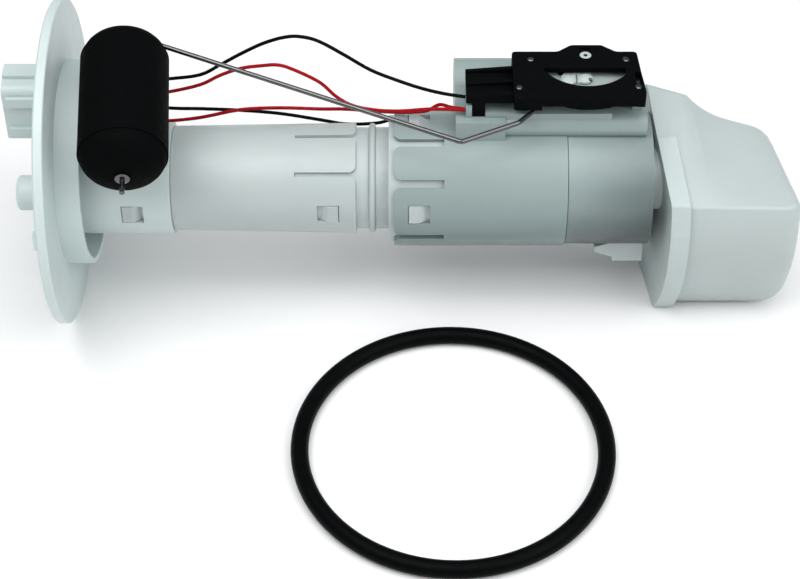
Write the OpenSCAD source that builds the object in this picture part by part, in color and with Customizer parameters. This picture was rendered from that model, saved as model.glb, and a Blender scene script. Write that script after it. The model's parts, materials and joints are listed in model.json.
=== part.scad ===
// In-tank fuel pump module lying on its side: flange to the left, strainer bowl to the right.
// X runs along the module from the flange's underside, Z is up, and the origin is the flange's centre.

/* [Flange] */
// Diameter of the round flange
flange_d = 119; // [112:1:126]
// Thickness of the flange plate
flange_t = 3.6; // [2.4:0.2:5]
// Outside diameter of the collar that drops into the tank neck
collar_d = 74.6; // [70:0.2:80]
// Depth of the collar
collar_len = 8.8; // [6:0.2:9.4]
// Wall of the collar
collar_wall = 2; // [1.6:0.1:3]
// Distance of the pump's axis below the flange's centre
axis_drop = 8; // [4:0.5:10]
// Length of the socket tube under the flange
socket_len = 38; // [34:1:42]
// Outside diameter of the socket tube
socket_d = 41; // [40.8:0.1:42]
// Wall of the moulded tubes
tube_wall = 1.7; // [1.4:0.1:2]

/* [Connector and outlet] */
// Width of the electrical connector shell
plug_w = 16; // [14:1:20]
// Height of the electrical connector shell
plug_h = 25; // [22:1:28]
// How far the connector shell stands out of the flange
plug_len = 21; // [16:1:26]
// Depth of the socket in the connector shell
plug_depth = 15; // [10:1:16]
// Wall of the connector shell
plug_wall = 2; // [1.6:0.1:2.6]
// Thickness of one terminal blade
blade_t = 0.8; // [0.6:0.1:1]
// Diameter of the outlet boss
outlet_boss_d = 13; // [11:0.5:14]
// Height of the outlet boss
outlet_boss_len = 15.8; // [13:0.2:18]
// Diameter of the outlet nipple
nipple_d = 8; // [7:0.2:9]
// Length of the outlet nipple beyond its boss
nipple_len = 18; // [14:1:24]
// Distance from the boss to the nipple's bead
bead_at = 5; // [4:0.5:6]
// Diameter of the bore through the outlet nipple
nipple_bore = 4.6; // [4:0.2:5]

/* [Tubes] */
// Distance from the flange to the mouth of the riser tube
riser_end = 105; // [98:1:105]
// Outside diameter of the riser tube at the flange end
riser_d1 = 38.4; // [38:0.2:38.8]
// Outside diameter of the riser tube at its mouth
riser_d2 = 40.6; // [40.2:0.2:41]
// Length of the snap slots
slot_len = 22; // [16:1:26]
// Width of the snap slots
slot_w = 1.6; // [1:0.2:3]
// Visible length of the coupling between riser and pump housing
coupler_gap = 12; // [10:1:14]
// Section diameter of the ring round the coupling
coupler_ring_d = 2.4; // [2:0.2:3]

/* [Pump] */
// Outside diameter of the pump housing
housing_d = 50; // [49.4:0.2:51]
// Length of the pump housing
housing_len = 62.3; // [60:0.1:64]
// Diameter of the pump's steel can
pump_d = 38; // [36:0.5:39]
// Length of the pump's steel can
pump_len = 58; // [50:1:60]
// Length of the lower cup that shows beyond the housing
cup_len = 30.9; // [29:0.1:34]
// Diameter of the pressure regulator's pocket
regulator_pocket_d = 22; // [20:1:23]
// Length of the pressure regulator's pocket
regulator_pocket_len = 34; // [30:1:38]

/* [Bowl] */
// Thickness of the bowl's base plate
plate_t = 7.1; // [5:0.1:9]
// Length of the bowl beyond its base plate
bowl_len = 41.5; // [38:0.5:46]
// Width of the bowl from front to back
bowl_w = 49; // [46:1:52]
// Angle by which the bowl's two ends slant back
bowl_yaw = 7.5; // [5:0.5:8]
// Radius of the bowl's bulging front
bowl_front_r = 62; // [58:1:90]
// Wall of the bowl
bowl_wall = 2; // [1.6:0.1:2.6]
// How far the base plate's rim stands proud of the bowl
rim_proud = 2.2; // [1.4:0.2:3]

/* [Level sender] */
// Length of the sender's frame
sender_len = 46.6; // [44:0.2:50]
// Depth of the sender's frame from front to back
sender_w = 26.6; // [25:0.2:28]
// Height of the sender's frame
sender_h = 5.4; // [5:0.2:6]
// Diameter of the steel float wire
wire_d = 1.8; // [1.6:0.1:2.4]
// Radius of the bends in the float wire
wire_bend_r = 2; // [1.8:0.1:3]
// Diameter of the wiper's axle
axle_d = 4.2; // [3.6:0.2:5]
// Radial running clearance of the axle and of the float on its wire
running_fit = 0.05; // [0.03:0.01:0.08]

/* [Float] */
// Diameter of the float
float_d = 31.2; // [28:0.2:31.4]
// Length of the float's straight part
float_straight = 43.4; // [38:0.2:45]
// Height of each domed end of the float
float_dome = 9.2; // [7:0.2:12]
// Forward tilt of the float and its wire
float_tilt = 10; // [0:1:12]

/* [Seal ring] */
// Section diameter of the loose seal ring
seal_d = 6.4; // [5:0.2:8]
// Outside diameter of the loose seal ring
seal_od = 115.6; // [108:0.4:118]

/* [Wiring] */
// Outside diameter of the insulated leads
lead_d = 1.3; // [1.2:0.1:2]

/* [Hidden] */
$fn = 72;

eps = 0.01;
seat_gap = 0.3;
slide_gap = 0.1;
flange_r = flange_d / 2;
collar_r = collar_d / 2;
axis_z = -axis_drop;
floor_z = -flange_r;

white = [0.93, 0.94, 0.92];
natural = [0.88, 0.91, 0.89];
black = [0.09, 0.09, 0.10];
steel = [0.72, 0.73, 0.74];
brass = [0.80, 0.68, 0.38];

// Connector shell, placed so that its rear corner stays inside the collar's circle
plug_y = 22;
plug_z = 10;
plug_corner_r = 3;
blade_back = 7;
blade_w = 2.8;
blade_pitch = 5;
blade_count = 4;
rib_w = 4;
rib_h = 1.6;

// Outlet
outlet_y = -6;
outlet_z = -10;
outlet_x = -flange_t - outlet_boss_len / 2;
outlet_r = outlet_boss_d / 2;
bead_proud = 1.2;

// Riser, coupling, housing and cup
finger_wall = 1.5;
socket_r = socket_d / 2;
riser_spigot_len = 18;
riser_spigot_r = socket_r - tube_wall - slide_gap;
coupler_r = riser_d2 / 2 - finger_wall - slide_gap;
coupler_spigot_len = 24;
coupler_step_x = riser_end + coupler_gap;
housing_x = coupler_step_x + 2;
housing_end = housing_x + housing_len;
housing_r = housing_d / 2;
housing_in_r = housing_r - tube_wall;
coupler_head_r = housing_in_r - slide_gap;
coupler_head_len = 24;
cup_r = housing_r - 0.7;
cup_in_r = cup_r - tube_wall;
cup_spigot_len = 12;
cup_spigot_r = housing_in_r - slide_gap;
cup_end = housing_end + cup_len;
window_len = 8;
window_h = 8;
latch_proud = 1.5;
finger_r = 3;

// Pump
pump_r = pump_d / 2;
pump_x = housing_x + 14;
pump_end = pump_x + pump_len;
pump_cap_len = 8;
pump_nipple_r = 3.6;
pump_nipple_len = 12;
inlet_r = 6;
inlet_len = 9;
cushion_w = 6;

// Bowl
bowl_front = -22.5;
bowl_back = bowl_front + bowl_w;
bowl_bottom = floor_z + rim_proud;
bulge_y = -26.4;
bulge_z = -22;
rim_top_z = -25.8;
ramp_front_z = -2;
bowl_x = cup_end + (cup_r - bowl_front) * tan(bowl_yaw) + plate_t / cos(bowl_yaw);
neck_top = 18;
neck_edge = 12.2;
neck_len = 8.4;
shoulder_r = 35.4;
shoulder_a = [54.8, 18.8];
shoulder_c = [neck_len + shoulder_r * sin(shoulder_a[0]), neck_edge + shoulder_r * cos(shoulder_a[0])];
shoulder_end = shoulder_c[0] - shoulder_r * sin(shoulder_a[1]);
end_low_r = 13;
end_top_r = 4;
end_front_r = 7;
end_back_r = 8;
hub_len = 6.5;
rim_end_y = 3.5;
block_x0 = cup_end - 11.4;
block_depth = 24;
block_bottom = -39;
wedge_len = 7;

// Regulator pocket
pocket_r = regulator_pocket_d / 2;
pocket_y = 23.4;
pocket_z = 15.6;
pocket_x = housing_x + 22;
regulator_r = pocket_r - tube_wall - 1.3;

// Sender
sender_x = 161.4;
sender_y = -7.5;
sender_top = 36;
sender_bottom = sender_top - sender_h;
sender_plate_t = 2;
sender_wall = 1.8;
pivot_x = 188;
pivot_y = 17.2;
axle_r = axle_d / 2;
hub_r = 4.2;
wire_r = wire_d / 2;
wire_z = sender_bottom - 0.6 - wire_r;
block_len = 16.8;
block_w = 16;
leg_len = 6;
ledge_top = wire_z - wire_r - 2.1;
rail_top = ledge_top - 2;
roll_r = 4.5;
ledge_lead = 9.8;
ledge_len = 45.2;
stop_w = 2.1;
rail_y = -6;
rail_w = 22;
rail_len = 51.3;
block_floor = 2.2;
strip_w = 3;
strip_t = 0.8;
strip_z = sender_bottom + 0.7;
strip_points = [-2.2, 6.9];
lip_h = 1.7;
lip_r = 24.4;
skirt_len = 10;
reach = 300;
card_t = 0.9;
carrier_z = sender_bottom + 1.5;
carrier_t = 0.7;
lump_points = [[-6.7, -10.2], [-0.5, -9.2]];
window_r = 17.6;
window_back = 7.6;
lump_r = 2.7;
lump_h = 0.9;
contact_h = 1.1;
rivet_r = 1.35;
rivet_points = [[6.7, 22.4], [41, 22.4], [2, 6.6], [44.3, 7]];

// Float and its wire
float_r = float_d / 2;
float_half = float_straight / 2 + float_dome;
float_x = 25.2;
float_y = -17.2;
float_z = 40.2;
float_yaw = 3.5;
float_seam = 0.5;
nut_t = 0.8;
bend_lap = 4;
nut_r = 2.6;
wire_tail = 6;
wire_corner = 1.5 * wire_bend_r + 0.2;
float_dir = [sin(float_yaw) * cos(float_tilt), -cos(float_yaw) * cos(float_tilt), -sin(float_tilt)];
float_c = [float_x, float_y, float_z];
wire_turn = atan2(-12.4 - pivot_y, 163 - pivot_x);
wire_points = [
    [pivot_x, pivot_y, wire_z],
    [163, -12.4, wire_z],
    [142.6, -22.7, wire_z],
    float_c - (float_half + wire_corner) * float_dir,
    float_c + (float_half + nut_t + wire_tail) * float_dir];

// Seal ring, lying on the floor in front
seal_r = seal_d / 2;
seal_c = [140, -89, floor_z + seal_r];

// Leads from the block under the flange
lead_r = lead_d / 2;
lead_sides = 8;
block_x = 13;
sender_lead_black_route = [
    [13, 24, 19], [24, 23.5, 18.5], [36, 22, 21], [48, 20, 24.5], [56, 18.5, 30.5], [63.5, 17, 36.5],
    [72, 15.5, 42.5], [80, 14, 46.5], [86, 13, 47.5], [92.5, 11.5, 46.5], [101.5, 10, 41.5],
    [110.5, 8, 36.5], [119.5, 5.5, 34], [128.2, 2.8, 32.5], [136.3, 0.8, 31.6], [144.4, -0.9, 31.4]];
sender_lead_red_route = [
    [13, 19, 14], [24, 20, 14.5], [36, 20, 16.5], [48, 18, 21.5], [55.5, 16.5, 27], [63.5, 15, 31.5],
    [71.5, 13.5, 34], [78, 12.5, 35], [85, 11, 33], [92.5, 9.5, 29.3], [98, 8.5, 23.8],
    [104, 7, 20.8], [112, 4.5, 20.8], [121, 1.5, 22.8], [131, -1, 25.8], [139, -2.3, 26.8],
    [144.4, -2.6, 26.8]];
pump_lead_black_route = [
    [13, 25, 8], [24, 22, 9], [36, 18.5, 10], [48, 17.5, 10.5], [62, 17, 10.2], [77, 17, 8.6],
    [92, 18.5, 4.2], [101, 20.6, 0.5], [112, 24, -2], [118, 25.5, -1.5], [126, 25.6, 0], [133, 24.5, 3],
    [137.5, 22.9, 5.3], [140.7, 21.7, 6.6]];
pump_lead_red_route = [
    [13, 18, 4.5], [24, 17.5, 5], [35, 16.4, 5.6], [47.5, 15.5, 8], [62.5, 14, 13], [77, 13, 14.7],
    [92, 12, 15], [101, 11, 15.8], [110, 9.3, 16.4], [119.5, 7.3, 17.4], [126, 5.6, 18.9], [131, 4.2, 20.8],
    [135.3, 3.2, 24.4], [139.6, 0.6, 25.3], [144.4, -0.4, 25.3]];

// Lays a drawing of Y and Z on the plane at x, to be extruded along +X
module on_x(x) {
    translate([x, 0, 0]) rotate([90, 0, 90]) children();
}

module tube_x(x0, x1, r_out, r_in) {
    on_x(x0) difference() {
        cylinder(h = x1 - x0, r = r_out);
        translate([0, 0, -1]) cylinder(h = x1 - x0 + 2, r = r_in);
    }
}

module rod_x(x0, x1, r) {
    on_x(x0) cylinder(h = x1 - x0, r = r);
}

module rounded_rect(w, h, r) {
    translate([r, r]) offset_square(w - 2 * r, h - 2 * r, r);
}

// A rectangle with round corners made of plain shapes, so its walls stay true
module offset_square(w, h, r) {
    translate([-r, 0]) square([w + 2 * r, h]);
    translate([0, -r]) square([w, h + 2 * r]);
    for (x = [0, w], y = [0, h]) translate([x, y]) circle(r, $fn = 32);
}

module rounded_bar_x(x0, x1, y, z, w, h, r) {
    on_x(x0) linear_extrude(x1 - x0) translate([y, z]) rounded_rect(w, h, r);
}

// A slot through one side of a tube, open at the tube's end, at an angle from -Y towards +Z
module end_slot(x0, len, angle, r, w) {
    rotate([-angle, 0, 0]) {
        translate([x0 - 1, -r - 2, -w / 2]) cube([len + 1, 6, w]);
        for (s = [-1, 1]) translate([x0, 0, s * w / 2]) slot_flare(s, r);
    }
}

// The round corner of a snap finger beside its slot
module slot_flare(s, r) {
    translate([0, -r - 2, 0]) rotate([-90, 0, 0]) linear_extrude(6) difference() {
        translate([-1, s > 0 ? -finger_r : 0]) square([finger_r + 1, finger_r]);
        translate([finger_r, -s * finger_r]) circle(finger_r + 0.15, $fn = 32);
    }
}

function unit(v) = v / norm(v);

// Points of the round corner at p between the points before and after it; p is [x, y, radius]
function corner(before, p, after, steps) = let (
    c0 = [p[0], p[1]],
    u = unit([before[0], before[1]] - c0),
    v = unit([after[0], after[1]] - c0),
    half = acos(u * v) / 2,
    mid = c0 + unit(u + v) * p[2] / sin(half),
    from = c0 + u * p[2] / tan(half) - mid,
    to = c0 + v * p[2] / tan(half) - mid,
    a0 = atan2(from[1], from[0]),
    turn = (atan2(to[1], to[0]) - a0 + 540) % 360 - 180)
    [for (i = [0:steps]) mid + p[2] * [cos(a0 + turn * i / steps), sin(a0 + turn * i / steps)]];

// An outline from points [x, y, radius], with each corner that has a radius made round
function rounded(p, steps = 6) = let (n = len(p))
    [for (i = [0:n - 1]) each p[i][2] == 0 ? [[p[i][0], p[i][1]]]
        : corner(p[(i + n - 1) % n], p[i], p[(i + 1) % n], steps)];

module side_window(x0, angle, r) {
    rotate([-angle, 0, 0])
        translate([x0, -r - 2, -window_h / 2]) cube([window_len, 6, window_h]);
}

// A wedge that snaps into a window and slopes down towards the mouth
module snap_wedge(x0, angle, r, sign) {
    len = window_len - 2 * seat_gap;
    rotate([-angle, 0, 0]) translate([x0 + window_len / 2, 0, 0])
        translate([0, 0, -window_h / 2 + seat_gap]) linear_extrude(window_h - 2 * seat_gap)
            polygon([[-sign * len / 2, -r + 0.6], [sign * len / 2, -r + 0.6],
                     [sign * len / 2, -r - latch_proud], [0, -r - latch_proud]]);
}

module axis_frame() {
    translate([0, 0, axis_z]) children();
}

module plug_outline(grow) {
    translate([plug_y - plug_w / 2 - grow, plug_z - plug_h / 2 - grow])
        rounded_rect(plug_w + 2 * grow, plug_h + 2 * grow, plug_corner_r + grow);
}

module plug_shell() {
    tip = -flange_t - plug_len;
    difference() {
        union() {
            on_x(tip) linear_extrude(plug_len + eps) plug_outline(0);
            for (s = [-1, 1])
                translate([tip + 1.5, plug_y - plug_w / 2 - rib_h + eps, plug_z + s * 7 - rib_w / 2])
                    cube([plug_len - 1.5, rib_h, rib_w]);
            translate([tip, plug_y - 2, plug_z + plug_h / 2 - eps])
                cube([plug_len, 7, rib_h]);
        }
        on_x(tip - 1) linear_extrude(plug_depth + 1) plug_outline(-plug_wall);
    }
}

module outlet_boss() {
    translate([-flange_t, outlet_y, outlet_z]) rotate([0, -90, 0]) difference() {
        rotate_extrude() union() {
            square([outlet_r - 1.5, outlet_boss_len]);
            square([outlet_r, outlet_boss_len - 1.5]);
            translate([outlet_r - 1.5, outlet_boss_len - 1.5]) circle(1.5, $fn = 32);
        }
        cylinder(h = outlet_boss_len / 2, r = nipple_bore / 2);
    }
}

// Points the local Z axis from the outlet boss away from the camera side: backwards and down
module outlet_frame() {
    translate([outlet_x, outlet_y, outlet_z]) rotate([-135, 0, 0]) children();
}

module flange() {
    color(white) difference() {
        union() {
            on_x(-flange_t) rotate_extrude() polygon([
                [0, 0], [flange_r - 0.6, 0], [flange_r, 0.6], [flange_r, flange_t - 0.4],
                [flange_r - 0.4, flange_t], [0, flange_t]]);
            tube_x(-eps, collar_len, collar_r, collar_r - collar_wall);
            difference() {
                axis_frame() tube_x(-eps, socket_len, socket_r, socket_r - tube_wall);
                axis_frame() for (a = [0, 180]) side_window(socket_len - 18, a, socket_r);
            }
            plug_shell();
            outlet_boss();
            translate([-flange_t - 9, outlet_y + 5, outlet_z + 3]) cube([9.5, 5, 16]);
            rotate([-13, 0, 0]) translate([-flange_t - 1.2, -flange_r + 1, -3]) cube([1.4, 3, 6]);
        }
        outlet_frame() cylinder(h = outlet_r + 5, r = nipple_d / 2 + slide_gap);
        translate([outlet_x, outlet_y, outlet_z]) rod_x(0, flange_t - outlet_x + eps, nipple_bore / 2);
        for (i = [0:blade_count - 1])
            translate([-flange_t - plug_len + plug_depth - 1, plug_y - blade_t / 2 - slide_gap,
                       plug_z + (i - (blade_count - 1) / 2) * blade_pitch - blade_w / 2 - slide_gap])
                cube([plug_len, blade_t + 2 * slide_gap, blade_w + 2 * slide_gap]);
    }
}

module plug_terminals() {
    color(brass) for (i = [0:blade_count - 1])
        translate([-flange_t - plug_len + blade_back, plug_y - blade_t / 2,
                   plug_z + (i - (blade_count - 1) / 2) * blade_pitch - blade_w / 2])
            cube([plug_len + flange_t - blade_back + 4, blade_t, blade_w]);
}

module outlet_nipple() {
    inner = 2;
    tip = outlet_r + nipple_len;
    color(white) outlet_frame() rotate_extrude() difference() {
        union() {
            translate([0, inner]) square([nipple_d / 2, tip - inner]);
            translate([nipple_d / 2, outlet_r + bead_at]) circle(bead_proud, $fn = 24);
        }
        translate([-1, inner - 1]) square([nipple_bore / 2 + 1, tip]);
    }
}

// The moulded block under the flange that the leads come out of
module lead_block() {
    h = 24;
    color(white) difference() {
        rounded_bar_x(seat_gap, block_x, plug_y - 5.5, -1, 9, h, 1.5);
        axis_frame() rod_x(-1, block_x + 1, socket_r + seat_gap);
        for (i = [0:blade_count - 1])
            translate([-1, plug_y - blade_t / 2 - slide_gap,
                       plug_z + (i - (blade_count - 1) / 2) * blade_pitch - blade_w / 2 - slide_gap])
                cube([6, blade_t + 2 * slide_gap, blade_w + 2 * slide_gap]);
    }
}

module seal_ring() {
    color(black) translate(seal_c) rotate_extrude($fn = 96)
        translate([seal_od / 2 - seal_r, 0]) circle(seal_r, $fn = 32);
}

module riser_tube() {
    shoulder = socket_len + seat_gap;
    color(natural) axis_frame() difference() {
        union() {
            tube_x(socket_len - riser_spigot_len, shoulder + 2, riser_spigot_r, riser_spigot_r - tube_wall);
            on_x(shoulder) difference() {
                cylinder(h = riser_end - shoulder, r1 = riser_d1 / 2, r2 = riser_d2 / 2);
                translate([0, 0, 1.5]) cylinder(h = riser_end, r1 = riser_d1 / 2 - tube_wall,
                    r2 = riser_d1 / 2 - tube_wall + (riser_d2 - riser_d1) / 2 * riser_end
                        / (riser_end - shoulder));
                translate([0, 0, -1]) cylinder(h = 4, r = riser_spigot_r - tube_wall);
            }
            for (a = [0, 180]) snap_wedge(socket_len - 18, a, riser_spigot_r, -1);
        }
        rod_x(riser_end - coupler_spigot_len - 1, riser_end + 1, coupler_r + slide_gap);
        for (a = [-45, 45, 90, 135, 225, 270])
            translate([riser_end, 0, 0]) mirror([1, 0, 0])
                end_slot(0, slot_len, a, riser_d2 / 2, slot_w);
        for (a = [0, 180]) side_window(riser_end - 14, a, riser_d2 / 2);
    }
}

module coupler() {
    color(natural) axis_frame() {
        difference() {
            union() {
                rod_x(riser_end - coupler_spigot_len, coupler_step_x + 1, coupler_r);
                rod_x(coupler_step_x, coupler_step_x + coupler_head_len, coupler_head_r);
            }
            rod_x(riser_end - coupler_spigot_len - 1, coupler_step_x - 1, coupler_r - tube_wall);
            translate([coupler_step_x + tube_wall, 0, 0])
                rod_x(0, coupler_head_len, coupler_head_r - tube_wall);
            rod_x(coupler_step_x - 2, coupler_step_x + 4, pump_nipple_r + 2);
            on_x(riser_end + 6) rotate_extrude()
                translate([coupler_r + coupler_ring_d / 2 - 0.9, 0])
                    circle(coupler_ring_d / 2 + slide_gap, $fn = 24);
        }
        for (a = [0, 180]) snap_wedge(riser_end - 14, a, coupler_r, 1);
        for (a = [9, 99, 189, 279]) snap_wedge(housing_x + 5, a, coupler_head_r, -1);
    }
}

module coupler_ring() {
    color(white) axis_frame() on_x(riser_end + 6) rotate_extrude()
        translate([coupler_r + coupler_ring_d / 2 - 0.9, 0]) circle(coupler_ring_d / 2, $fn = 24);
}

// The long ledge with a round front that carries the level sender
module sender_rail() {
    base = axis_z + housing_r - 6;
    difference() {
        union() {
            on_x(sender_x - 3) linear_extrude(rail_len) {
                translate([rail_y + roll_r, base]) square([rail_w - roll_r, rail_top - base]);
                translate([rail_y + roll_r, rail_top - roll_r]) circle(roll_r, $fn = 48);
            }
            translate([sender_x - ledge_lead, rail_y + 2, base])
                cube([ledge_len, rail_w - 7, ledge_top - base]);
        }
        axis_frame() rod_x(0, reach, housing_r - 0.6);
    }
}

module sender_platform() {
    x0 = sender_x - block_len - 3.6;
    top = sender_bottom - leg_len - seat_gap;
    difference() {
        union() {
            translate([x0, rail_y - 1, 8]) cube([block_len + 1, rail_w - 2, top - 8]);
            translate([sender_x - block_len, rail_y + 2, top - 1]) cube([stop_w, rail_w - 8, leg_len]);
        }
        axis_frame() rod_x(0, reach, housing_r - 0.6);
    }
}

module regulator_pocket() {
    difference() {
        union() {
            translate([0, pocket_y, pocket_z])
                rod_x(pocket_x, pocket_x + regulator_pocket_len, pocket_r);
            translate([pocket_x, pocket_y - pocket_r + 1.5, axis_z + 16])
                cube([regulator_pocket_len, pocket_r, pocket_z - axis_z - 16]);
        }
        axis_frame() rod_x(0, reach, housing_r - 0.6);
    }
}

// Opens the pocket at its right end, through everything that stands in the way
module regulator_bore() {
    translate([0, pocket_y, pocket_z]) rod_x(pocket_x + tube_wall, reach, pocket_r - tube_wall);
}

// The upright at the right end that the sender's frame is fastened to
module sender_post() {
    x0 = sender_x + sender_len - 3.6;
    difference() {
        union() {
            translate([x0, rail_y + 6.6, 6]) cube([3.6, rail_w - 7.6, sender_bottom - 6 - seat_gap]);
            translate([x0 - 30, rail_y + rail_w - 2, 6]) cube([30.5, 2, rail_top - 7]);
        }
        axis_frame() rod_x(0, reach, cup_r + slide_gap);
    }
}

module pump_housing() {
    color(natural) difference() {
        union() {
            axis_frame() tube_x(housing_x, housing_end, housing_r, housing_in_r);
            sender_rail();
            sender_platform();
            regulator_pocket();
            sender_post();
        }
        regulator_bore();
        axis_frame() for (q = [0:90:270]) {
            for (a = [36.5, 72]) end_slot(housing_x, slot_len - 4, a + q, housing_r, slot_w + 1.4);
            side_window(housing_x + 5, 9 + q, housing_r);
        }
    }
}

module lower_cup() {
    color(natural) axis_frame() difference() {
        union() {
            rod_x(housing_end - cup_spigot_len, housing_end + 1, cup_spigot_r);
            rod_x(housing_end + seat_gap, cup_end, cup_r);
        }
        rod_x(housing_end - cup_spigot_len - 1, cup_end - 2, cup_in_r - 0.8);
        rod_x(cup_end - 3, cup_end + 1, inlet_r + 3.5);
    }
}

// Lays its children in the bowl's own slanted frame: local X from the joint of plate and bowl
module bowl_frame() {
    translate([bowl_x, bowl_front, 0]) rotate([0, 0, bowl_yaw]) children();
}

// Height of the bowl's back edge: sloping neck, concave shoulder, then a straight fall to the far end
function ridge(s) =
    s < neck_len ? neck_edge + (neck_top - neck_edge) * (neck_len - s) / (neck_len + plate_t)
    : s < shoulder_end ? shoulder_c[1] - sqrt(pow(shoulder_r, 2) - pow(s - shoulder_c[0], 2))
    : shoulder_c[1] - shoulder_r * cos(shoulder_a[1]) - tan(shoulder_a[1]) * (s - shoulder_end);

// How far a round of radius r at the far end has drawn a side in at s
function drawn_in(s, r, len) = s <= len - r ? 0 : r - sqrt(max(0, r * r - pow(s - len + r, 2)));

// The front's bulging arc: Y at the height z
function front_y(z, r) = bulge_y + bowl_front_r - sqrt(r * r - pow(z - bulge_z, 2));

// Cross-section of the bowl in Y and Z at the distance s from its joint: bulging front, sloping roof
function bowl_section(s, grow) = let (
    len = bowl_len + grow,
    back = bowl_back + grow - drawn_in(s, end_back_r + grow, len),
    low = bowl_bottom - grow + drawn_in(s, end_low_r + grow, len),
    top = drawn_in(s, end_top_r + grow, len) - grow,
    front = drawn_in(s, end_front_r + grow, len),
    high = ramp_front_z - top,
    high_y = front_y(high, bowl_front_r + grow) + front,
    ridge_z = ridge(s) - top)
    rounded(concat(
        [[back, ridge_z, 3], [back, low, 6]],
        [for (i = [0:10]) let (z = low + (high - low) * i / 10)
            [front_y(z, bowl_front_r + grow) + front, z, i % 10 == 0 ? 1.5 : 0]],
        [for (t = [0.25:0.25:0.75]) [high_y + (back - high_y) * t, high + (ridge_z - high) * t, 0]]));

// The distances from the joint at which the bowl's skin has a section, after those in lead
function stations(lead, len) = let (r = end_low_r + len - bowl_len) concat(
    lead,
    [for (i = [0:3]) (neck_len + plate_t) * i / 4 - plate_t],
    [for (i = [0:8]) neck_len + (shoulder_end - neck_len) * i / 8],
    [for (a = [0:15:90]) len - r + r * sin(a)]);

module bowl_skin(grow, lead) {
    skin([for (s = stations(lead, bowl_len + grow))
        [for (p = bowl_section(s, grow)) [bowl_x + s - tan(bowl_yaw) * (p[0] - bowl_front), p[0], p[1]]]]);
}

// The part of the joint where the plate's rim wraps round the bowl: in front and below
module rim_zone(gap) {
    bowl_frame() translate([-3 * plate_t, 0, -3 * bowl_w]) {
        translate([0, -bowl_w, 0]) cube([3 * plate_t, bowl_w + rim_end_y - bowl_front + gap, 6 * bowl_w]);
        translate([0, -bowl_w, 0]) cube([3 * plate_t, 4 * bowl_w, 3 * bowl_w + rim_top_z + gap]);
    }
}

module bowl() {
    color(white) difference() {
        bowl_skin(0, []);
        bowl_skin(-bowl_wall, [-2 * plate_t]);
        rim_zone(slide_gap);
    }
}

module base_plate() {
    color(white) difference() {
        union() {
            intersection() {
                union() {
                    intersection() {
                        on_x(bowl_x - 4 * plate_t) linear_extrude(6 * plate_t)
                            polygon(bowl_section(0, rim_proud));
                        rim_zone(0);
                    }
                    bowl_skin(-bowl_wall - seat_gap, [-2 * plate_t]);
                }
                bowl_frame() translate([-plate_t, -bowl_w, -2 * bowl_w])
                    cube([plate_t - seat_gap, 3 * bowl_w, 4 * bowl_w]);
            }
            axis_frame() rod_x(cup_end + seat_gap, cup_end + hub_len, inlet_r + 5.5);
        }
        axis_frame() rod_x(cup_end - 1, bowl_x + 5, inlet_r + 3.5);
    }
}

// The block and wedge below the cup that lock it to the base plate
module bowl_latch() {
    color(natural) difference() {
        union() {
            translate([block_x0, -block_depth / 2, block_bottom]) cube([11, block_depth, 12]);
            translate([0, block_depth / 2, 0]) rotate([90, 0, 0]) linear_extrude(block_depth)
                polygon([[block_x0 - wedge_len, block_bottom + 7], [block_x0 - wedge_len, block_bottom + 4.6],
                         [block_x0 + 1, block_bottom + 1.6], [block_x0 + 1, block_bottom + 10]]);
        }
        axis_frame() rod_x(block_x0 - 2 * wedge_len, cup_end + hub_len, cup_r + seat_gap);
    }
}

module strainer() {
    margin = bowl_wall + 6;
    color([0.82, 0.84, 0.78]) translate([bowl_x + margin, bowl_front + margin, bowl_bottom + margin])
        rotate([90, 0, 90]) linear_extrude(bowl_len - 2.4 * margin)
            rounded_rect(bowl_w - 2 * margin, ramp_front_z - bowl_bottom - 2 * margin, margin - 1);
}

module strainer_neck() {
    color(black) difference() {
        axis_frame() {
            rod_x(pump_end + pump_cap_len + 2, bowl_x + bowl_wall + 6 - seat_gap, inlet_r + 2.4);
        }
        axis_frame() rod_x(pump_end + pump_cap_len, bowl_x + 20, inlet_r + slide_gap);
    }
}

module pump_can() {
    color(steel) axis_frame() on_x(pump_x) rotate_extrude() polygon([
        [0, 0], [pump_r - 1, 0], [pump_r, 1], [pump_r, pump_len - 1], [pump_r - 1, pump_len], [0, pump_len]]);
}

module pump_outlet_cap() {
    color(black) axis_frame() difference() {
        union() {
            rod_x(pump_x - pump_cap_len, pump_x - eps, pump_r - 1.6);
            rod_x(pump_x - pump_cap_len - pump_nipple_len, pump_x - pump_cap_len + 1, pump_nipple_r);
        }
        rod_x(pump_x - pump_cap_len - pump_nipple_len - 1, pump_x - 3, pump_nipple_r - 1.4);
    }
}

module pump_inlet_cap() {
    color(white) axis_frame() difference() {
        union() {
            rod_x(pump_end + eps, pump_end + pump_cap_len, pump_r - 1.2);
            rod_x(pump_end + 1, pump_end + pump_cap_len + inlet_len, inlet_r);
        }
        rod_x(pump_end + 3, pump_end + pump_cap_len + inlet_len + 1, inlet_r - 1.6);
    }
}

module pump_cushions() {
    color(black) axis_frame() {
        tube_x(coupler_step_x + coupler_head_len + 1, coupler_step_x + coupler_head_len + 1 + cushion_w,
               housing_in_r - slide_gap, pump_r + slide_gap);
        tube_x(housing_end - cup_spigot_len + 3, housing_end - cup_spigot_len + 3 + cushion_w,
               cup_in_r - 0.8 - slide_gap, pump_r + slide_gap);
    }
}

// Corrugated hose from the flange to the pump's outlet
module delivery_hose() {
    x0 = 1;
    x1 = pump_x - pump_cap_len - 1;
    pitch = 3.2;
    r = 5.2;
    bore = pump_nipple_r + slide_gap;
    color(natural) axis_frame() on_x(x0) rotate_extrude($fn = 48) difference() {
        union() {
            square([r - 0.8, x1 - x0]);
            for (z = [8:pitch:x1 - x0 - 14]) translate([r - 1, z]) circle(0.8, $fn = 16);
        }
        translate([-1, -1]) square([bore + 1, x1 - x0 + 2]);
    }
}

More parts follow.
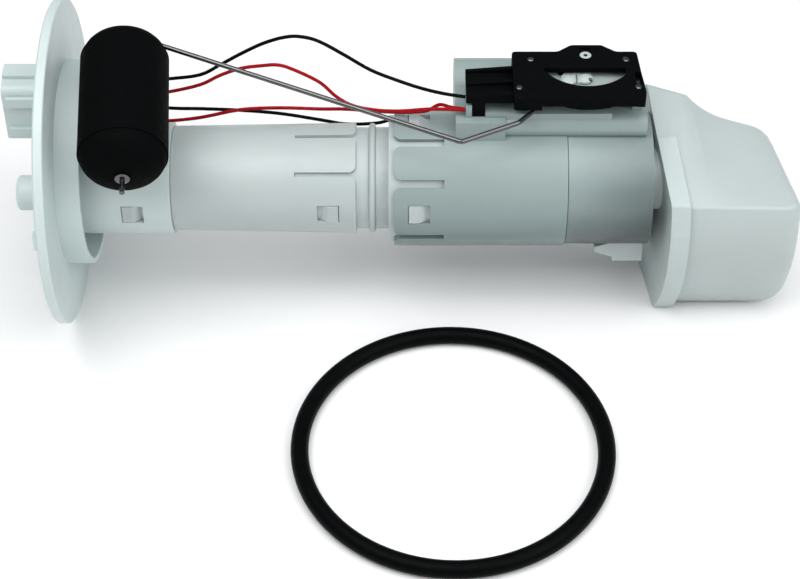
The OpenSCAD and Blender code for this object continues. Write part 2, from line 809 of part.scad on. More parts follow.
module regulator() {
    color(steel) translate([0, pocket_y, pocket_z]) on_x(pocket_x + tube_wall + seat_gap) rotate_extrude()
        polygon([[0, 0], [3.4, 0], [3.4, 7], [regulator_r, 7], [regulator_r, 14],
                 [regulator_r + 0.9, 14], [regulator_r + 0.9, 16], [regulator_r, 16],
                 [regulator_r, 25], [3, 27], [0, 27]]);
}

module regulator_seals() {
    color(black) translate([0, pocket_y, pocket_z]) on_x(pocket_x + tube_wall + seat_gap) {
        rotate_extrude() translate([3.4 + 1.05, 3]) circle(1, $fn = 24);
        rotate_extrude() translate([regulator_r + 0.62, 11]) circle(0.6, $fn = 24);
    }
}

module regulator_cap() {
    x1 = pocket_x + regulator_pocket_len;
    color(white) translate([0, pocket_y, pocket_z]) difference() {
        rod_x(x1 - 3, x1, pocket_r - tube_wall - slide_gap);
        rod_x(x1 - 4, x1 + 3, 2);
    }
}

// The window over the resistor card: an arc about the pivot, cut straight along its back
module card_window() {
    intersection() {
        circle(window_r, $fn = 96);
        translate([-15.6, -window_r - 1]) square([29.5, window_r + 1 - window_back]);
    }
}

module sender_plan() {
    x1 = sender_x + sender_len;
    y1 = sender_y + sender_w;
    polygon(rounded([[sender_x, sender_y, 1.4], [x1, sender_y, 1.4], [x1 + 0.2, sender_y + 5, 0],
        [x1 - 0.7, sender_y + 15, 0], [x1 - 1.5, y1, 1.4], [pivot_x + 11, y1, 3],
        [pivot_x + 6, y1 + 3.8, 3], [pivot_x - 5, y1 + 3.8, 3], [pivot_x - 10, y1, 3], [sender_x, y1, 1.4]]));
}

module sender_inside() {
    translate([sender_x + sender_wall, sender_y + sender_wall])
        square([sender_len - 2 * sender_wall - 0.8, sender_w - 2 * sender_wall]);
    translate([pivot_x, pivot_y - 3]) square([12, 4]);
}

module terminal_block() {
    x0 = sender_x - block_len;
    translate([x0, sender_y + 4, sender_bottom]) cube([block_len + 1, block_w, block_floor]);
    for (y = [0, block_w / 2 - 0.8, block_w - 1.6])
        translate([0, sender_y + 4 + y + 1.6, 0]) rotate([90, 0, 0]) linear_extrude(1.6)
            polygon([[x0, sender_bottom + 1], [sender_x + 1, sender_bottom + 1],
                     [sender_x + 1, sender_top - 1.2], [x0, sender_bottom + 2.6]]);
    translate([x0 + stop_w + 0.4, sender_y + 4, sender_bottom - leg_len]) cube([4.2, 4, leg_len + 0.5]);
}

module sender_frame() {
    color(black) difference() {
        union() {
            translate([0, 0, sender_top - sender_plate_t]) linear_extrude(sender_plate_t) sender_plan();
            translate([0, 0, sender_bottom]) linear_extrude(sender_h - 1) difference() {
                sender_plan();
                sender_inside();
            }
            terminal_block();
        }
        difference() {
            translate([sender_x + skirt_len, sender_y - 2, sender_bottom - 1])
                cube([sender_len, 3.9, lip_h + 1]);
            translate([pivot_x, pivot_y, 0]) cylinder(h = reach, r = lip_r);
        }
        translate([pivot_x, pivot_y, 0]) {
            cylinder(h = sender_top + 1, r = axle_r + running_fit);
            cylinder(h = sender_bottom + 3.4, r = hub_r + running_fit);
            translate([0, 0, sender_bottom]) linear_extrude(sender_h + 1) card_window();
            translate([-2.1, 3.1, sender_top - 3]) cube([4.3, 1, 4]);
            translate([17, -16.2, sender_top - 2.4]) cube([2.2, 6.4, 4]);
        }
        for (y = strip_points) translate([sender_x - block_len - 1, y - slide_gap, strip_z - slide_gap])
            cube([block_len - 1, strip_w + 2 * slide_gap, strip_t + 2 * slide_gap]);
        for (p = rivet_points) translate([sender_x + p[0], sender_y + p[1], sender_bottom - 1])
            cylinder(h = sender_h + 2, r = rivet_r + slide_gap, $fn = 32);
    }
}

module sender_rivets() {
    color(steel) for (p = rivet_points)
        translate([sender_x + p[0], sender_y + p[1], sender_bottom + 1])
            cylinder(h = sender_h - 1.3, r = rivet_r, $fn = 32);
}

module resistor_card() {
    y0 = sender_y + sender_wall + slide_gap;
    color([0.80, 0.82, 0.78]) difference() {
        translate([sender_x + sender_wall + slide_gap, y0, sender_bottom + 0.1])
            cube([sender_len - 2 * sender_wall - 1, sender_w - 2 * sender_wall - 2 * slide_gap, card_t]);
        translate([pivot_x, pivot_y, 0]) cylinder(h = reach, r = hub_r + seat_gap);
        for (p = rivet_points) translate([sender_x + p[0], sender_y + p[1], sender_bottom - 1])
            cylinder(h = sender_h + 2, r = rivet_r + slide_gap, $fn = 32);
    }
}

module sender_terminals() {
    color(brass) for (y = strip_points)
        translate([sender_x - block_len + 0.5, y, strip_z]) cube([block_len - 2.6, strip_w, strip_t]);
}

// The white arm that the float wire turns, seen through the window
module wiper_carrier() {
    hub_z = wire_z - wire_r - 1.2;
    color(white) translate([pivot_x, pivot_y, 0]) {
        translate([0, 0, hub_z]) difference() {
            cylinder(h = carrier_z - hub_z + carrier_t, r = hub_r);
            translate([0, 0, 1.2 - slide_gap]) rotate([0, 0, wire_turn])
                translate([-hub_r - 1, -wire_r - slide_gap, 0])
                cube([2 * hub_r + 2, wire_d + 2 * slide_gap, wire_d + 2 * slide_gap]);
        }
        translate([0, 0, carrier_z]) cylinder(h = sender_top - carrier_z - 0.2, r = axle_r);
        translate([0, 0, carrier_z]) difference() {
            union() {
                linear_extrude(carrier_t) difference() {
                    polygon([[-3.9, 0], [-9.2, -8.5], [-8.2, -12], [1.2, -11.3], [2.1, -9.1],
                             [1.3, -4.2], [0, 0]]);
                    translate([-3.9, -13]) square([0.6, 6]);
                }
                for (p = lump_points) translate([p[0], p[1], 0]) wiper_lump();
            }
            for (p = lump_points) translate([p[0], p[1], -1])
                cylinder(h = 1 + contact_h, r = 1 + running_fit, $fn = 24);
        }
    }
}

// One of the two domed lumps that press the contacts on the card
module wiper_lump() {
    ball_r = (lump_r * lump_r + lump_h * lump_h) / (2 * lump_h);
    intersection() {
        translate([0, 0, carrier_t + lump_h + running_fit - ball_r]) sphere(ball_r);
        cylinder(h = 2 * carrier_t + lump_h, r = lump_r);
    }
}

module wiper_contact() {
    color(steel) translate([pivot_x, pivot_y, carrier_z - 0.2])
        for (p = lump_points) translate([p[0], p[1], 0]) cylinder(h = contact_h, r = 1, $fn = 24);
}

module wire_stretch(a, b) {
    d = b - a;
    yaw = atan2(d[1], d[0]);
    pitch = acos(d[2] / norm(d));
    translate(a) rotate([0, pitch, yaw]) cylinder(h = norm(d), r = wire_r, $fn = 32);
}

// A round bend of the wire at corner p between the directions d1 and d2, its ends inside the straight runs
module wire_bend(p, d1, d2) {
    turn = acos(d1 * d2);
    back = wire_bend_r * tan(turn / 2);
    n = unit(cross(d1, d2));
    c = p + unit(d2 - d1) * wire_bend_r / cos(turn / 2);
    u = unit(p - back * d1 - c);
    multmatrix([[u[0], d1[0], n[0], c[0]], [u[1], d1[1], n[1], c[1]],
                [u[2], d1[2], n[2], c[2]], [0, 0, 0, 1]])
        rotate([0, 0, -bend_lap]) rotate_extrude(angle = turn + 2 * bend_lap)
            translate([wire_bend_r, 0]) circle(wire_r - 0.04, $fn = 32);
}

module bent_wire(points) {
    last = len(points) - 1;
    dirs = [for (i = [0:last - 1]) unit(points[i + 1] - points[i])];
    cut = [for (i = [0:last]) i == 0 || i == last ? 0
        : wire_bend_r * tan(acos(dirs[i - 1] * dirs[i]) / 2)];
    for (i = [0:last - 1])
        wire_stretch(points[i] + cut[i] * dirs[i], points[i + 1] - cut[i + 1] * dirs[i]);
    for (i = [1:last - 1]) wire_bend(points[i], dirs[i - 1], dirs[i]);
}

module float_wire() {
    color(steel) bent_wire(wire_points);
}

// Local Z runs along the float, from its middle towards its front end
module float_frame() {
    translate(float_c) rotate([90 + float_tilt, 0, float_yaw]) children();
}

function dome(r, h, z, s) = [for (i = [0:9]) let (a = 90 * i / 9) [r * cos(a), z + s * h * sin(a)]];

module float() {
    half = float_straight / 2;
    color(black) float_frame() rotate_extrude() difference() {
        polygon(concat(
            [[0, -half]],
            [for (i = [9:-1:0]) dome(float_r - float_seam, float_dome, -half, -1)[i]],
            [[float_r, -half], [float_r, half]],
            dome(float_r - float_seam, float_dome, half, 1)));
        translate([-1, -float_half - 1]) square([1 + wire_r + running_fit, 2 * float_half + 2]);
    }
}

module push_nut() {
    color(steel) float_frame() translate([0, 0, float_half + seat_gap]) difference() {
        rotate_extrude() polygon([[0, 0], [nut_r, 0], [nut_r, 0.5], [wire_r + 0.9, nut_t], [0, nut_t]]);
        translate([0, 0, -1]) cylinder(h = 3, r = wire_r + 0.02, $fn = 32);
    }
}

// Sweeps a round section along a route: one ring at each point, square to the run there
function route_dir(p, i) = unit(p[min(i + 1, len(p) - 1)] - p[max(i - 1, 0)]);
function ring_at(p, i, r, n) = let (t = route_dir(p, i), a = unit(cross(t, [0, 0, 1])), b = cross(t, a))
    [for (k = [0:n - 1]) p[i] + r * (cos(360 * k / n) * a + sin(360 * k / n) * b)];

// Skin through closed rings of points, one ring after the other, closed at both ends
module skin(rings) {
    n = len(rings[0]);
    last = len(rings) - 1;
    sides = [for (i = [0:last - 1], k = [0:n - 1]) let (a = i * n + k, b = i * n + (k + 1) % n)
        each [[a, b, b + n], [a, b + n, a + n]]];
    ends = [[for (k = [n - 1:-1:0]) k], [for (k = [0:n - 1]) last * n + k]];
    polyhedron([for (r = rings) each r], concat(sides, ends), convexity = 6);
}

module swept_tube(p, r, n) {
    skin([for (i = [0:len(p) - 1]) ring_at(p, i, r, n)]);
}

module sender_lead_black() {
    color(black) swept_tube(sender_lead_black_route, lead_r, lead_sides);
}

module sender_lead_red() {
    color([0.75, 0.08, 0.10]) swept_tube(sender_lead_red_route, lead_r, lead_sides);
}

module pump_lead_black() {
    color(black) swept_tube(pump_lead_black_route, lead_r, lead_sides);
}

module pump_lead_red() {
    color([0.75, 0.08, 0.10]) swept_tube(pump_lead_red_route, lead_r, lead_sides);
}

flange();
plug_terminals();
outlet_nipple();
lead_block();
seal_ring();
riser_tube();
coupler();
coupler_ring();
pump_housing();
lower_cup();
base_plate();
bowl();
bowl_latch();
strainer();
strainer_neck();
pump_can();
pump_outlet_cap();
pump_inlet_cap();
pump_cushions();
delivery_hose();
regulator();
regulator_seals();
regulator_cap();
sender_frame();
sender_rivets();
resistor_card();
sender_terminals();
wiper_carrier();
wiper_contact();
float_wire();
float();
push_nut();
sender_lead_black();
sender_lead_red();
pump_lead_black();
pump_lead_red();
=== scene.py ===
import json
import math

import bmesh
import bpy
from mathutils import Matrix, Vector


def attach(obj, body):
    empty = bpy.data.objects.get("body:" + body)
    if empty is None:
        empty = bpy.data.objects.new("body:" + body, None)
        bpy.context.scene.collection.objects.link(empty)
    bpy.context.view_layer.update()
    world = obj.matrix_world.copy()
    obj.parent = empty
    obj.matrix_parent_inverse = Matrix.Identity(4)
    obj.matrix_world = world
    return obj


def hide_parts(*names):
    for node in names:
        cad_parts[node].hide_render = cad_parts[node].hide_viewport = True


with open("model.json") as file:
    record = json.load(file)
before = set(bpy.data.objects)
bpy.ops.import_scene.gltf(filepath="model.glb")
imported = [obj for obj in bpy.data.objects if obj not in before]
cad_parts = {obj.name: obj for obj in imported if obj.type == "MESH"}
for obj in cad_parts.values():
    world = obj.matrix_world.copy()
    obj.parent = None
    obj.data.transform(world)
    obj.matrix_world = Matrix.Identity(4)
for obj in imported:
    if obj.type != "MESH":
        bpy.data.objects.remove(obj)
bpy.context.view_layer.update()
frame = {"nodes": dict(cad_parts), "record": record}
NODES = frame["nodes"]
SLOT_OF = {s["node"]: s["material_slot"] for s in frame["record"]["subparts"]}
SCENE = bpy.context.scene
MM = 0.001
FLOOR_Z = -0.0595


# Camera
CAMERA_AT = (0.12111, -0.56521, 0.49877)
CAMERA_PITCH = math.radians(45.0)
SENSOR_MM = 36.0
LENS_MM = 92.25
CLIP_RANGE = (0.05, 20.0)


def make_camera():
    """The photograph's viewpoint: square to the module's length, looking down at 45 degrees."""
    data = bpy.data.cameras.new("photo_camera")
    data.sensor_width = SENSOR_MM
    data.lens = LENS_MM
    data.clip_start, data.clip_end = CLIP_RANGE
    cam = bpy.data.objects.new("photo_camera", data)
    SCENE.collection.objects.link(cam)
    cam.location = CAMERA_AT
    cam.rotation_euler = (CAMERA_PITCH, 0.0, 0.0)
    SCENE.camera = cam


make_camera()


# Materials
# Grain of the procedural patterns, in cells to the metre
FLOW_CLOUD = 45.0
CORE_CLOUD = 60.0
GLOSS_PATCHES = 160.0
ORANGE_PEEL = 900.0
BRUSHING = 700.0
WEAVE = 420.0
# Heights of the bumps, in metres
SKIN_DEPTH = 0.0002
BRUSH_DEPTH = 0.0001
# Moulded acetal: refraction, tint of the light inside its wall, and its orange peel
ACETAL_IOR = 1.48
ACETAL_TINT = (1.0, 1.0, 0.95)
PEEL_STRENGTH = 0.12
# Clouding drawn out along the module
ALONG_FLOW = (0.5, 1, 1)


def new_material(name):
    """A material with its node tree and its shader."""
    mat = bpy.data.materials.new(name)
    mat.use_nodes = True
    nt = mat.node_tree
    return mat, nt, nt.nodes["Principled BSDF"]


def noise(nt, scale, detail=2.0, rough=0.5, stretch=(1, 1, 1)):
    """A noise pattern fixed to the object, as a socket."""
    coords = nt.nodes.new("ShaderNodeTexCoord")
    mapping = nt.nodes.new("ShaderNodeMapping")
    mapping.inputs["Scale"].default_value = stretch
    tex = nt.nodes.new("ShaderNodeTexNoise")
    tex.inputs["Scale"].default_value = scale
    tex.inputs["Detail"].default_value = detail
    tex.inputs["Roughness"].default_value = rough
    nt.links.new(coords.outputs["Object"], mapping.inputs["Vector"])
    nt.links.new(mapping.outputs["Vector"], tex.inputs["Vector"])
    return tex.outputs["Fac"]


def ramp(nt, fac, stops):
    """Colours along a factor; stops is a list of (position, colour)."""
    node = nt.nodes.new("ShaderNodeValToRGB")
    el = node.color_ramp.elements
    el[0].position, el[0].color = stops[0][0], (*stops[0][1], 1)
    el[1].position, el[1].color = stops[-1][0], (*stops[-1][1], 1)
    for pos, col in stops[1:-1]:
        e = el.new(pos)
        e.color = (*col, 1)
    nt.links.new(fac, node.inputs["Fac"])
    return node.outputs["Color"]


def map_range(nt, fac, lo, hi, from_lo=0.3, from_hi=0.7):
    """The factor stretched from from_lo..from_hi to lo..hi."""
    node = nt.nodes.new("ShaderNodeMapRange")
    node.inputs["From Min"].default_value = from_lo
    node.inputs["From Max"].default_value = from_hi
    node.inputs["To Min"].default_value = lo
    node.inputs["To Max"].default_value = hi
    nt.links.new(fac, node.inputs["Value"])
    return node.outputs["Result"]


def multiply_add(nt, value, factor, addend):
    """value * factor + addend, as a socket."""
    node = nt.nodes.new("ShaderNodeMath")
    node.operation = "MULTIPLY_ADD"
    nt.links.new(value, node.inputs[0])
    node.inputs[1].default_value = factor
    nt.links.new(addend, node.inputs[2])
    return node.outputs[0]


def bump(nt, bsdf, height, strength, distance):
    """Relief from a height pattern; distance is in metres."""
    node = nt.nodes.new("ShaderNodeBump")
    node.inputs["Strength"].default_value = strength
    node.inputs["Distance"].default_value = distance
    nt.links.new(height, node.inputs["Height"])
    nt.links.new(node.outputs["Normal"], bsdf.inputs["Normal"])


def acetal_wall(nt, bsdf, glow, depth, rough_lo, rough_hi):
    """What all pale acetal shares: patches of gloss, light inside the wall, a fine orange peel."""
    gloss = noise(nt, GLOSS_PATCHES, 2.0)
    nt.links.new(map_range(nt, gloss, rough_lo, rough_hi), bsdf.inputs["Roughness"])
    bsdf.inputs["Subsurface Weight"].default_value = glow
    bsdf.inputs["Subsurface Radius"].default_value = ACETAL_TINT
    bsdf.inputs["Subsurface Scale"].default_value = depth
    bsdf.inputs["IOR"].default_value = ACETAL_IOR
    bump(nt, bsdf, noise(nt, ORANGE_PEEL, 2.0), PEEL_STRENGTH, SKIN_DEPTH)


def moulded_white(name, tint, glow, rough):
    """Acetal with faint flow clouding."""
    mat, nt, bsdf = new_material(name)
    cloud = noise(nt, FLOW_CLOUD, 3.0, 0.55, ALONG_FLOW)
    dark = tuple(c * 0.955 for c in tint)
    nt.links.new(ramp(nt, cloud, [(0.32, dark), (0.68, tint)]), bsdf.inputs["Base Color"])
    acetal_wall(nt, bsdf, glow, 0.0035, rough - 0.05, rough + 0.07)
    return mat


# Where a leaning shade is neutral along the module, in metres
CUP_MIDDLE = 0.185
# How much the clouding adds to the shade
CORE_CLOUDING = 0.16


def core_and_painted_shade_plastic(name, top, low, span, lean):
    """Natural acetal over a dark core, with painted shade.

    Darker towards the underside, over the heights in span, and with lean also towards the far end
    of the cup: partly the dark core showing through, partly painted shade.
    """
    mat, nt, bsdf = new_material(name)
    coords = nt.nodes.new("ShaderNodeTexCoord")
    axes = nt.nodes.new("ShaderNodeSeparateXYZ")
    nt.links.new(coords.outputs["Object"], axes.inputs["Vector"])
    height = multiply_add(nt, axes.outputs["X"], -lean, axes.outputs["Z"])
    shift = -lean * CUP_MIDDLE
    # Painted shade, partly the dark core: the colour darkens with less height
    depth = map_range(nt, height, 0.0, 1.0, span[0] + shift, span[1] + shift)
    cloud = noise(nt, CORE_CLOUD, 3.0, 0.55, ALONG_FLOW)
    shade = multiply_add(nt, cloud, CORE_CLOUDING, depth)
    nt.links.new(ramp(nt, shade, [(CORE_CLOUDING / 2, low), (1.0, top)]), bsdf.inputs["Base Color"])
    acetal_wall(nt, bsdf, 0.1, 0.0025, 0.31, 0.44)
    return mat


def dark_moulded(name, base, rough, grain, strength, spec):
    """Black or coloured moulding, rubber or insulation with a fine grain."""
    mat, nt, bsdf = new_material(name)
    fac = noise(nt, grain, 3.0, 0.6)
    light = tuple(c * 1.6 for c in base)
    nt.links.new(ramp(nt, fac, [(0.3, base), (0.7, light)]), bsdf.inputs["Base Color"])
    gloss = noise(nt, grain * 0.35, 2.0)
    nt.links.new(map_range(nt, gloss, rough - 0.06, rough + 0.08), bsdf.inputs["Roughness"])
    bsdf.inputs["Specular IOR Level"].default_value = spec
    bump(nt, bsdf, fac, strength, SKIN_DEPTH)
    return mat


def metal(name, base, rough, stretch):
    """Drawn or stamped metal with fine marks along its length."""
    mat, nt, bsdf = new_material(name)
    bsdf.inputs["Metallic"].default_value = 1.0
    fac = noise(nt, BRUSHING, 3.0, 0.6, stretch)
    dull = tuple(c * 0.82 for c in base)
    nt.links.new(ramp(nt, fac, [(0.3, dull), (0.7, base)]), bsdf.inputs["Base Color"])
    nt.links.new(map_range(nt, fac, rough - 0.05, rough + 0.09), bsdf.inputs["Roughness"])
    bump(nt, bsdf, fac, 0.08, BRUSH_DEPTH)
    return mat


def woven(name, base):
    """Plain weave: two sets of threads crossing."""
    mat, nt, bsdf = new_material(name)
    coords = nt.nodes.new("ShaderNodeTexCoord")
    threads = nt.nodes.new("ShaderNodeMath")
    threads.operation = "MAXIMUM"
    for i, axis in enumerate(("X", "Z")):
        wave = nt.nodes.new("ShaderNodeTexWave")
        wave.bands_direction = axis
        wave.inputs["Scale"].default_value = WEAVE
        nt.links.new(coords.outputs["Object"], wave.inputs["Vector"])
        nt.links.new(wave.outputs["Fac"], threads.inputs[i])
    height = threads.outputs[0]
    gap = tuple(c * 0.7 for c in base)
    nt.links.new(ramp(nt, height, [(0.2, gap), (0.9, base)]), bsdf.inputs["Base Color"])
    bsdf.inputs["Roughness"].default_value = 0.8
    bump(nt, bsdf, height, 0.5, SKIN_DEPTH)
    return mat


# Pale plastics: tint, light inside the wall, roughness
# Dark plastics: base, roughness, grain, bump, gloss
MATS = {
    "white_plastic": moulded_white("white_acetal", (0.430, 0.490, 0.482), 0.15, 0.42),
    "natural_plastic": moulded_white("natural_acetal", (0.445, 0.500, 0.495), 0.2, 0.38),
    "black_plastic": dark_moulded(
        "black_moulding", (0.0018, 0.0021, 0.0023), 0.42, 800.0, 0.15, 0.02),
    "black_rubber": dark_moulded(
        "nitrile_rubber", (0.0014, 0.0017, 0.0018), 0.38, 500.0, 0.12, 0.03),
    "float_foam": dark_moulded(
        "nitrile_foam", (0.0018, 0.0021, 0.0022), 0.60, 1900.0, 0.55, 0.015),
    "filter_cloth": woven("strainer_cloth", (0.75, 0.77, 0.70)),
    "steel": metal("bright_steel", (0.13, 0.13, 0.133), 0.18, (1, 1, 1)),
    "brass": metal("tinned_brass", (0.72, 0.58, 0.33), 0.28, (1, 1, 0.2)),
    "ceramic": moulded_white("glazed_ceramic", (0.34, 0.40, 0.385), 0.0, 0.25),
    "black_insulation": dark_moulded(
        "black_lead", (0.0022, 0.0024, 0.0026), 0.40, 600.0, 0.10, 0.03),
    "red_insulation": dark_moulded(
        "red_lead", (0.24, 0.003, 0.006), 0.38, 600.0, 0.10, 0.06),
}
# Nodes given their own tone apart from the rest of its slot; the flange's is painted light, the
# housing's and the cup's partly painted shade
OWN_MATS = {
    "base_plate": moulded_white("plate_acetal", (0.46, 0.53, 0.52), 0.15, 0.42),
    # The flange is a lighter copy of the white acetal: painted light
    "flange": moulded_white("flange_acetal_painted_light", (0.56, 0.65, 0.64), 0.15, 0.42),
    # The housing and the cup carry painted shade: darker towards the underside and the cup's far
    # end
    "pump_housing": core_and_painted_shade_plastic(
        "natural_over_pump_painted_shade", (0.26, 0.325, 0.32), (0.10, 0.15, 0.15), (-0.034, 0.008), 0.0),
    "lower_cup": core_and_painted_shade_plastic(
        "natural_over_bracket_painted_shade", (0.33, 0.405, 0.40), (0.03, 0.045, 0.046), (-0.031, 0.024), 0.7),
}


def dress(obj, slot):
    """Give a piece the material of its slot."""
    obj.data.materials.clear()
    obj.data.materials.append(MATS[slot])


# Leads
# The routes of the CAD source's leads, in its millimetres
LEADS = {
    "sender_lead_black": [
        (13, 24, 19), (24, 23.5, 18.5), (36, 22, 21), (48, 20, 24.5), (56, 18.5, 30.5),
        (63.5, 17, 36.5), (72, 15.5, 42.5), (80, 14, 46.5), (86, 13, 47.5), (92.5, 11.5, 46.5),
        (101.5, 10, 41.5), (110.5, 8, 36.5), (119.5, 5.5, 34), (128.2, 2.8, 32.5),
        (136.3, 0.8, 31.6), (144.4, -0.9, 31.4)],
    "sender_lead_red": [
        (13, 19, 14), (24, 20, 14.5), (36, 20, 16.5), (48, 18, 21.5), (55.5, 16.5, 27),
        (63.5, 15, 31.5), (71.5, 13.5, 34), (78, 12.5, 35), (85, 11, 33), (92.5, 9.5, 29.3),
        (98, 8.5, 23.8), (104, 7, 20.8), (112, 4.5, 20.8), (121, 1.5, 22.8), (131, -1, 25.8),
        (139, -2.3, 26.8), (144.4, -2.6, 26.8)],
    "pump_lead_black": [
        (13, 25, 8), (24, 22, 9), (36, 18.5, 10), (48, 17.5, 10.5), (62, 17, 10.2), (77, 17, 8.6),
        (92, 18.5, 4.2), (101, 20.6, 0.5), (112, 24, -2), (118, 25.5, -1.5), (126, 25.6, 0),
        (133, 24.5, 3), (137.5, 22.9, 5.3), (140.7, 21.7, 6.6)],
    "pump_lead_red": [
        (13, 18, 4.5), (24, 17.5, 5), (35, 16.4, 5.6), (47.5, 15.5, 8), (62.5, 14, 13),
        (77, 13, 14.7), (92, 12, 15), (101, 11, 15.8), (110, 9.3, 16.4), (119.5, 7.3, 17.4),
        (126, 5.6, 18.9), (131, 4.2, 20.8), (135.3, 3.2, 24.4), (139.6, 0.6, 25.3),
        (144.4, -0.4, 25.3)],
}
LEAD_D = 0.0013


def smooth_route(points, per=4):
    """The points in metres, with a smooth curve through them in per steps from each to the next."""
    pts = [Vector(p) * MM for p in points]
    ext = [pts[0] * 2 - pts[1]] + pts + [pts[-1] * 2 - pts[-2]]
    out = []
    for i in range(1, len(ext) - 2):
        a, b, c, d = ext[i - 1], ext[i], ext[i + 1], ext[i + 2]
        for k in range(per):
            t = k / per
            square = (2 * a - 5 * b + 4 * c - d) * t * t
            cube = (3 * b - 3 * c + d - a) * t ** 3
            out.append(0.5 * ((2 * b) + (c - a) * t + square + cube))
    out.append(pts[-1])
    return out


def make_lead(node):
    """A round lead on the node's route, which stands for its faceted solid."""
    pts = smooth_route(LEADS[node])
    curve = bpy.data.curves.new(node + "_wire", "CURVE")
    curve.dimensions = "3D"
    curve.bevel_depth = LEAD_D / 2
    curve.bevel_resolution = 4
    curve.use_fill_caps = True
    spline = curve.splines.new("POLY")
    spline.points.add(len(pts) - 1)
    for sp, p in zip(spline.points, pts):
        sp.co = (*p, 1)
    obj = bpy.data.objects.new(node + "_wire", curve)
    SCENE.collection.objects.link(obj)
    dress(obj, SLOT_OF[node])
    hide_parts(node)
    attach(obj, "module")


for lead in LEADS:
    make_lead(lead)


# The carried-over solids
# Widths of the small rounds along moulded and stamped edges, in metres
SOFT_EDGES = {
    "flange": 0.0005, "riser_tube": 0.0003, "coupler": 0.0003, "pump_housing": 0.0004,
    "lower_cup": 0.0004, "base_plate": 0.0008, "bowl_latch": 0.0005,
    "lead_block": 0.0004, "sender_frame": 0.0003, "regulator_cap": 0.0003, "push_nut": 0.0001,
    "sender_rivets": 0.0003, "sender_terminals": 0.0001,
}
# Edges that turn by more than this are rounded
SHARP_EDGE = math.radians(35)


def soften(obj, width):
    """A small round along the sharp edges."""
    bevel = obj.modifiers.new("soft_edges", "BEVEL")
    bevel.width = width
    bevel.segments = 2
    bevel.limit_method = "ANGLE"
    bevel.angle_limit = SHARP_EDGE
    bevel.use_clamp_overlap = True
    bevel.harden_normals = False
    bevel.miter_outer = "MITER_ARC"


for name, obj in NODES.items():
    dress(obj, SLOT_OF[name])
    if name in OWN_MATS:
        obj.data.materials[0] = OWN_MATS[name]
    if name in SOFT_EDGES:
        soften(obj, SOFT_EDGES[name])


# The bowl's smooth skin
# Points nearer than this are one point, in metres
WELD = 0.00001


def smooth_copy(node, sharp_deg, width):
    """The node's own shape with its facets welded and shaded as one curved skin."""
    bm = bmesh.new()
    bm.from_mesh(NODES[node].data)
    bmesh.ops.remove_doubles(bm, verts=bm.verts, dist=WELD)
    mesh = bpy.data.meshes.new(node + "_skin")
    bm.to_mesh(mesh)
    bm.free()
    for poly in mesh.polygons:
        poly.use_smooth = True
    mesh.set_sharp_from_angle(angle=math.radians(sharp_deg))
    obj = bpy.data.objects.new(node + "_skin", mesh)
    SCENE.collection.objects.link(obj)
    dress(obj, SLOT_OF[node])
    soften(obj, width)
    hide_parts(node)
    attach(obj, "module")


smooth_copy("bowl", 34, 0.0008)


# Small pieces on the sender
# Places and profiles are in the CAD source's millimetres
def add_mesh(name, bm, slot, body, smooth=True):
    """Turn a bmesh into a dressed piece that rides on a body."""
    mesh = bpy.data.meshes.new(name)
    bm.to_mesh(mesh)
    bm.free()
    if smooth:
        mesh.shade_smooth()
    obj = bpy.data.objects.new(name, mesh)
    SCENE.collection.objects.link(obj)
    dress(obj, slot)
    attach(obj, body)
    return obj


def turned(name, centre, profile, slot, body, steps=32, squash=(1, 1), turn=0.0, smooth=True):
    """A solid turned about an upright axis; profile is (radius, height) from bottom to top."""
    bm = bmesh.new()
    rings = []
    for r, z in profile:
        if r == 0:
            rings.append([bm.verts.new((0, 0, z * MM))])
            continue
        ring = []
        for k in range(steps):
            a = 2 * math.pi * k / steps
            x = r * MM * math.cos(a) * squash[0]
            y = r * MM * math.sin(a) * squash[1]
            ring.append(bm.verts.new((x, y, z * MM)))
        rings.append(ring)
    for low, high in zip(rings, rings[1:]):
        for k in range(steps):
            j = (k + 1) % steps
            corners = [low[k % len(low)], low[j % len(low)],
                       high[j % len(high)], high[k % len(high)]]
            bm.faces.new(list(dict.fromkeys(corners)))
    for ring, flip in ((rings[0], True), (rings[-1], False)):
        if len(ring) > 1:
            bm.faces.new(ring[::-1] if flip else ring)
    bmesh.ops.rotate(bm, verts=bm.verts, cent=(0, 0, 0), matrix=Matrix.Rotation(turn, 3, "Z"))
    bmesh.ops.translate(bm, verts=bm.verts, vec=Vector(centre) * MM)
    return add_mesh(name, bm, slot, body, smooth)


def dome_profile(r, h, foot=0.3, steps=7):
    """A dome of radius r and height h on a short foot."""
    angles = [math.pi / 2 * i / steps for i in range(steps)]
    arc = [(r * math.cos(a), h * math.sin(a)) for a in angles]
    return [(r, -foot)] + arc + [(0, h)]


def box_piece(name, low, high, slot, body, width=0.0001):
    """A small block from corner to corner with rounded edges."""
    bm = bmesh.new()
    bmesh.ops.create_cube(bm, size=1.0)
    low, high = Vector(low) * MM, Vector(high) * MM
    for v in bm.verts:
        v.co = (low + high) / 2 + Vector((v.co[i] * (high - low)[i] for i in range(3)))
    bmesh.ops.bevel(bm, geom=bm.edges, offset=width, segments=2, affect="EDGES", profile=0.5)
    return add_mesh(name, bm, slot, body, False)


RIVETS = [(168.1, 14.9), (202.4, 14.9), (163.4, -0.9), (205.7, -0.5)]
RIVET_TOP = 35.7
ROUND_HEAD = (1.05, 0.95)
LOPSIDED_HEAD = (1.0, 1.25)


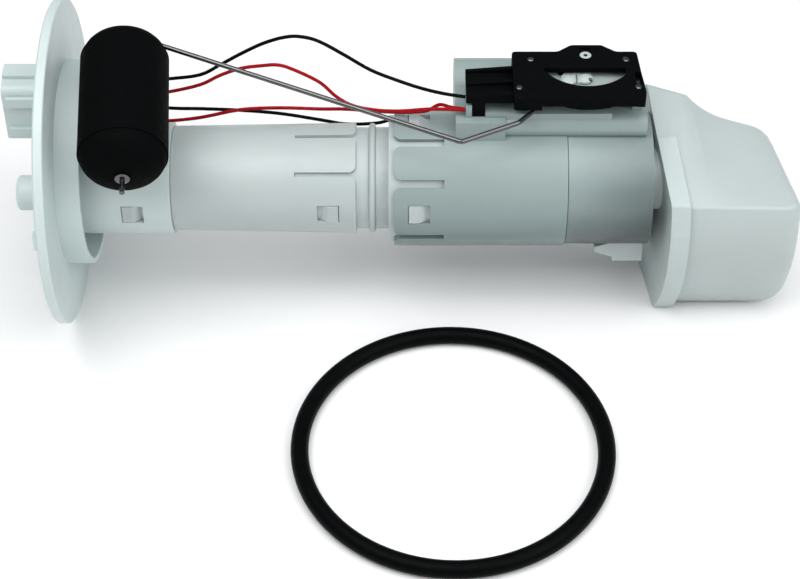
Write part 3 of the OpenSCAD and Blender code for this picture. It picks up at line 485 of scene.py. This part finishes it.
def make_sender_details():
    for i, (x, y) in enumerate(RIVETS):
        shape = LOPSIDED_HEAD if i == 1 else ROUND_HEAD
        turned(f"rivet_head_{i + 1}", (x, y, RIVET_TOP), dome_profile(1.32, 0.55, 0.1),
               "steel", "module", squash=shape, turn=0.5 * i)
    dimple = [(0.75, 0), (0.75, 0.08), (0.55, 0.12), (0, 0.12)]
    turned("axle_dimple", (188, 17.2, 35.78), dimple, "steel", "float_arm")
    turned("contact_ball", (189.2, 6.7, 33.05), dome_profile(0.72, 0.7, 0.5), "steel", "float_arm")
    box_piece("contact_spring", (182.6, 10.4, 32.75), (186.4, 12.8, 33.2), "brass", "float_arm")
    turned("card_stud", (179.0, 11.9, 31.6), dome_profile(1.05, 0.8, 0.02),
           "black_rubber", "module")
    box_piece("ground_strip", (205.4, 1.5, 33.25), (206.8, 6.9, 34.0), "steel", "module")
    box_piece("axle_clip", (186.15, 20.45, 32.65), (189.95, 21.15, 35.3), "steel", "module")


make_sender_details()


# Stage and light
FLOOR_SIZE = 3.0
FLOOR_DROP = 0.0002
FLOOR_TONES = [(0.3, (0.87, 0.872, 0.875)), (0.7, (0.88, 0.88, 0.88))]
MODULE_MIDDLE = 0.12


def make_floor():
    """A plain pale floor, a hair below what stands on it."""
    bm = bmesh.new()
    bmesh.ops.create_grid(bm, x_segments=1, y_segments=1, size=FLOOR_SIZE)
    mesh = bpy.data.meshes.new("floor")
    bm.to_mesh(mesh)
    bm.free()
    floor = bpy.data.objects.new("floor", mesh)
    floor.location = (MODULE_MIDDLE, 0.0, FLOOR_Z - FLOOR_DROP)
    SCENE.collection.objects.link(floor)
    mat, nt, bsdf = new_material("pale_floor")
    nt.links.new(ramp(nt, noise(nt, 3.0), FLOOR_TONES), bsdf.inputs["Base Color"])
    bsdf.inputs["Roughness"].default_value = 0.9
    mesh.materials.append(mat)


# Name, place, what it points at, size and power of each soft lamp
LIGHTS = [
    ("key", (-0.25, -0.55, 1.2), (0.12, 0, 0), (1.0, 0.9), 9.0),
    ("fill", (0.8, -0.5, 0.7), (0.15, 0, 0), (0.8, 0.6), 5.0),
    ("top", (0.12, 0.0, 1.3), (0.12, 0, 0), (1.6, 1.0), 10.0),
]
SKY = (0.95, 0.97, 1.0, 1)
SKY_STRENGTH = 0.35


def make_light(name, loc, target, size, power):
    data = bpy.data.lights.new(name, "AREA")
    data.shape = "RECTANGLE"
    data.size, data.size_y = size
    data.energy = power
    light = bpy.data.objects.new(name, data)
    light.location = loc
    aim = Vector(target) - Vector(loc)
    light.rotation_euler = aim.to_track_quat("-Z", "Y").to_euler()
    SCENE.collection.objects.link(light)


def make_sky():
    world = bpy.data.worlds.new("soft_world")
    world.use_nodes = True
    background = world.node_tree.nodes["Background"]
    background.inputs["Color"].default_value = SKY
    background.inputs["Strength"].default_value = SKY_STRENGTH
    SCENE.world = world


make_floor()
for lamp in LIGHTS:
    make_light(*lamp)
make_sky()
SCENE.view_settings.view_transform = "Standard"
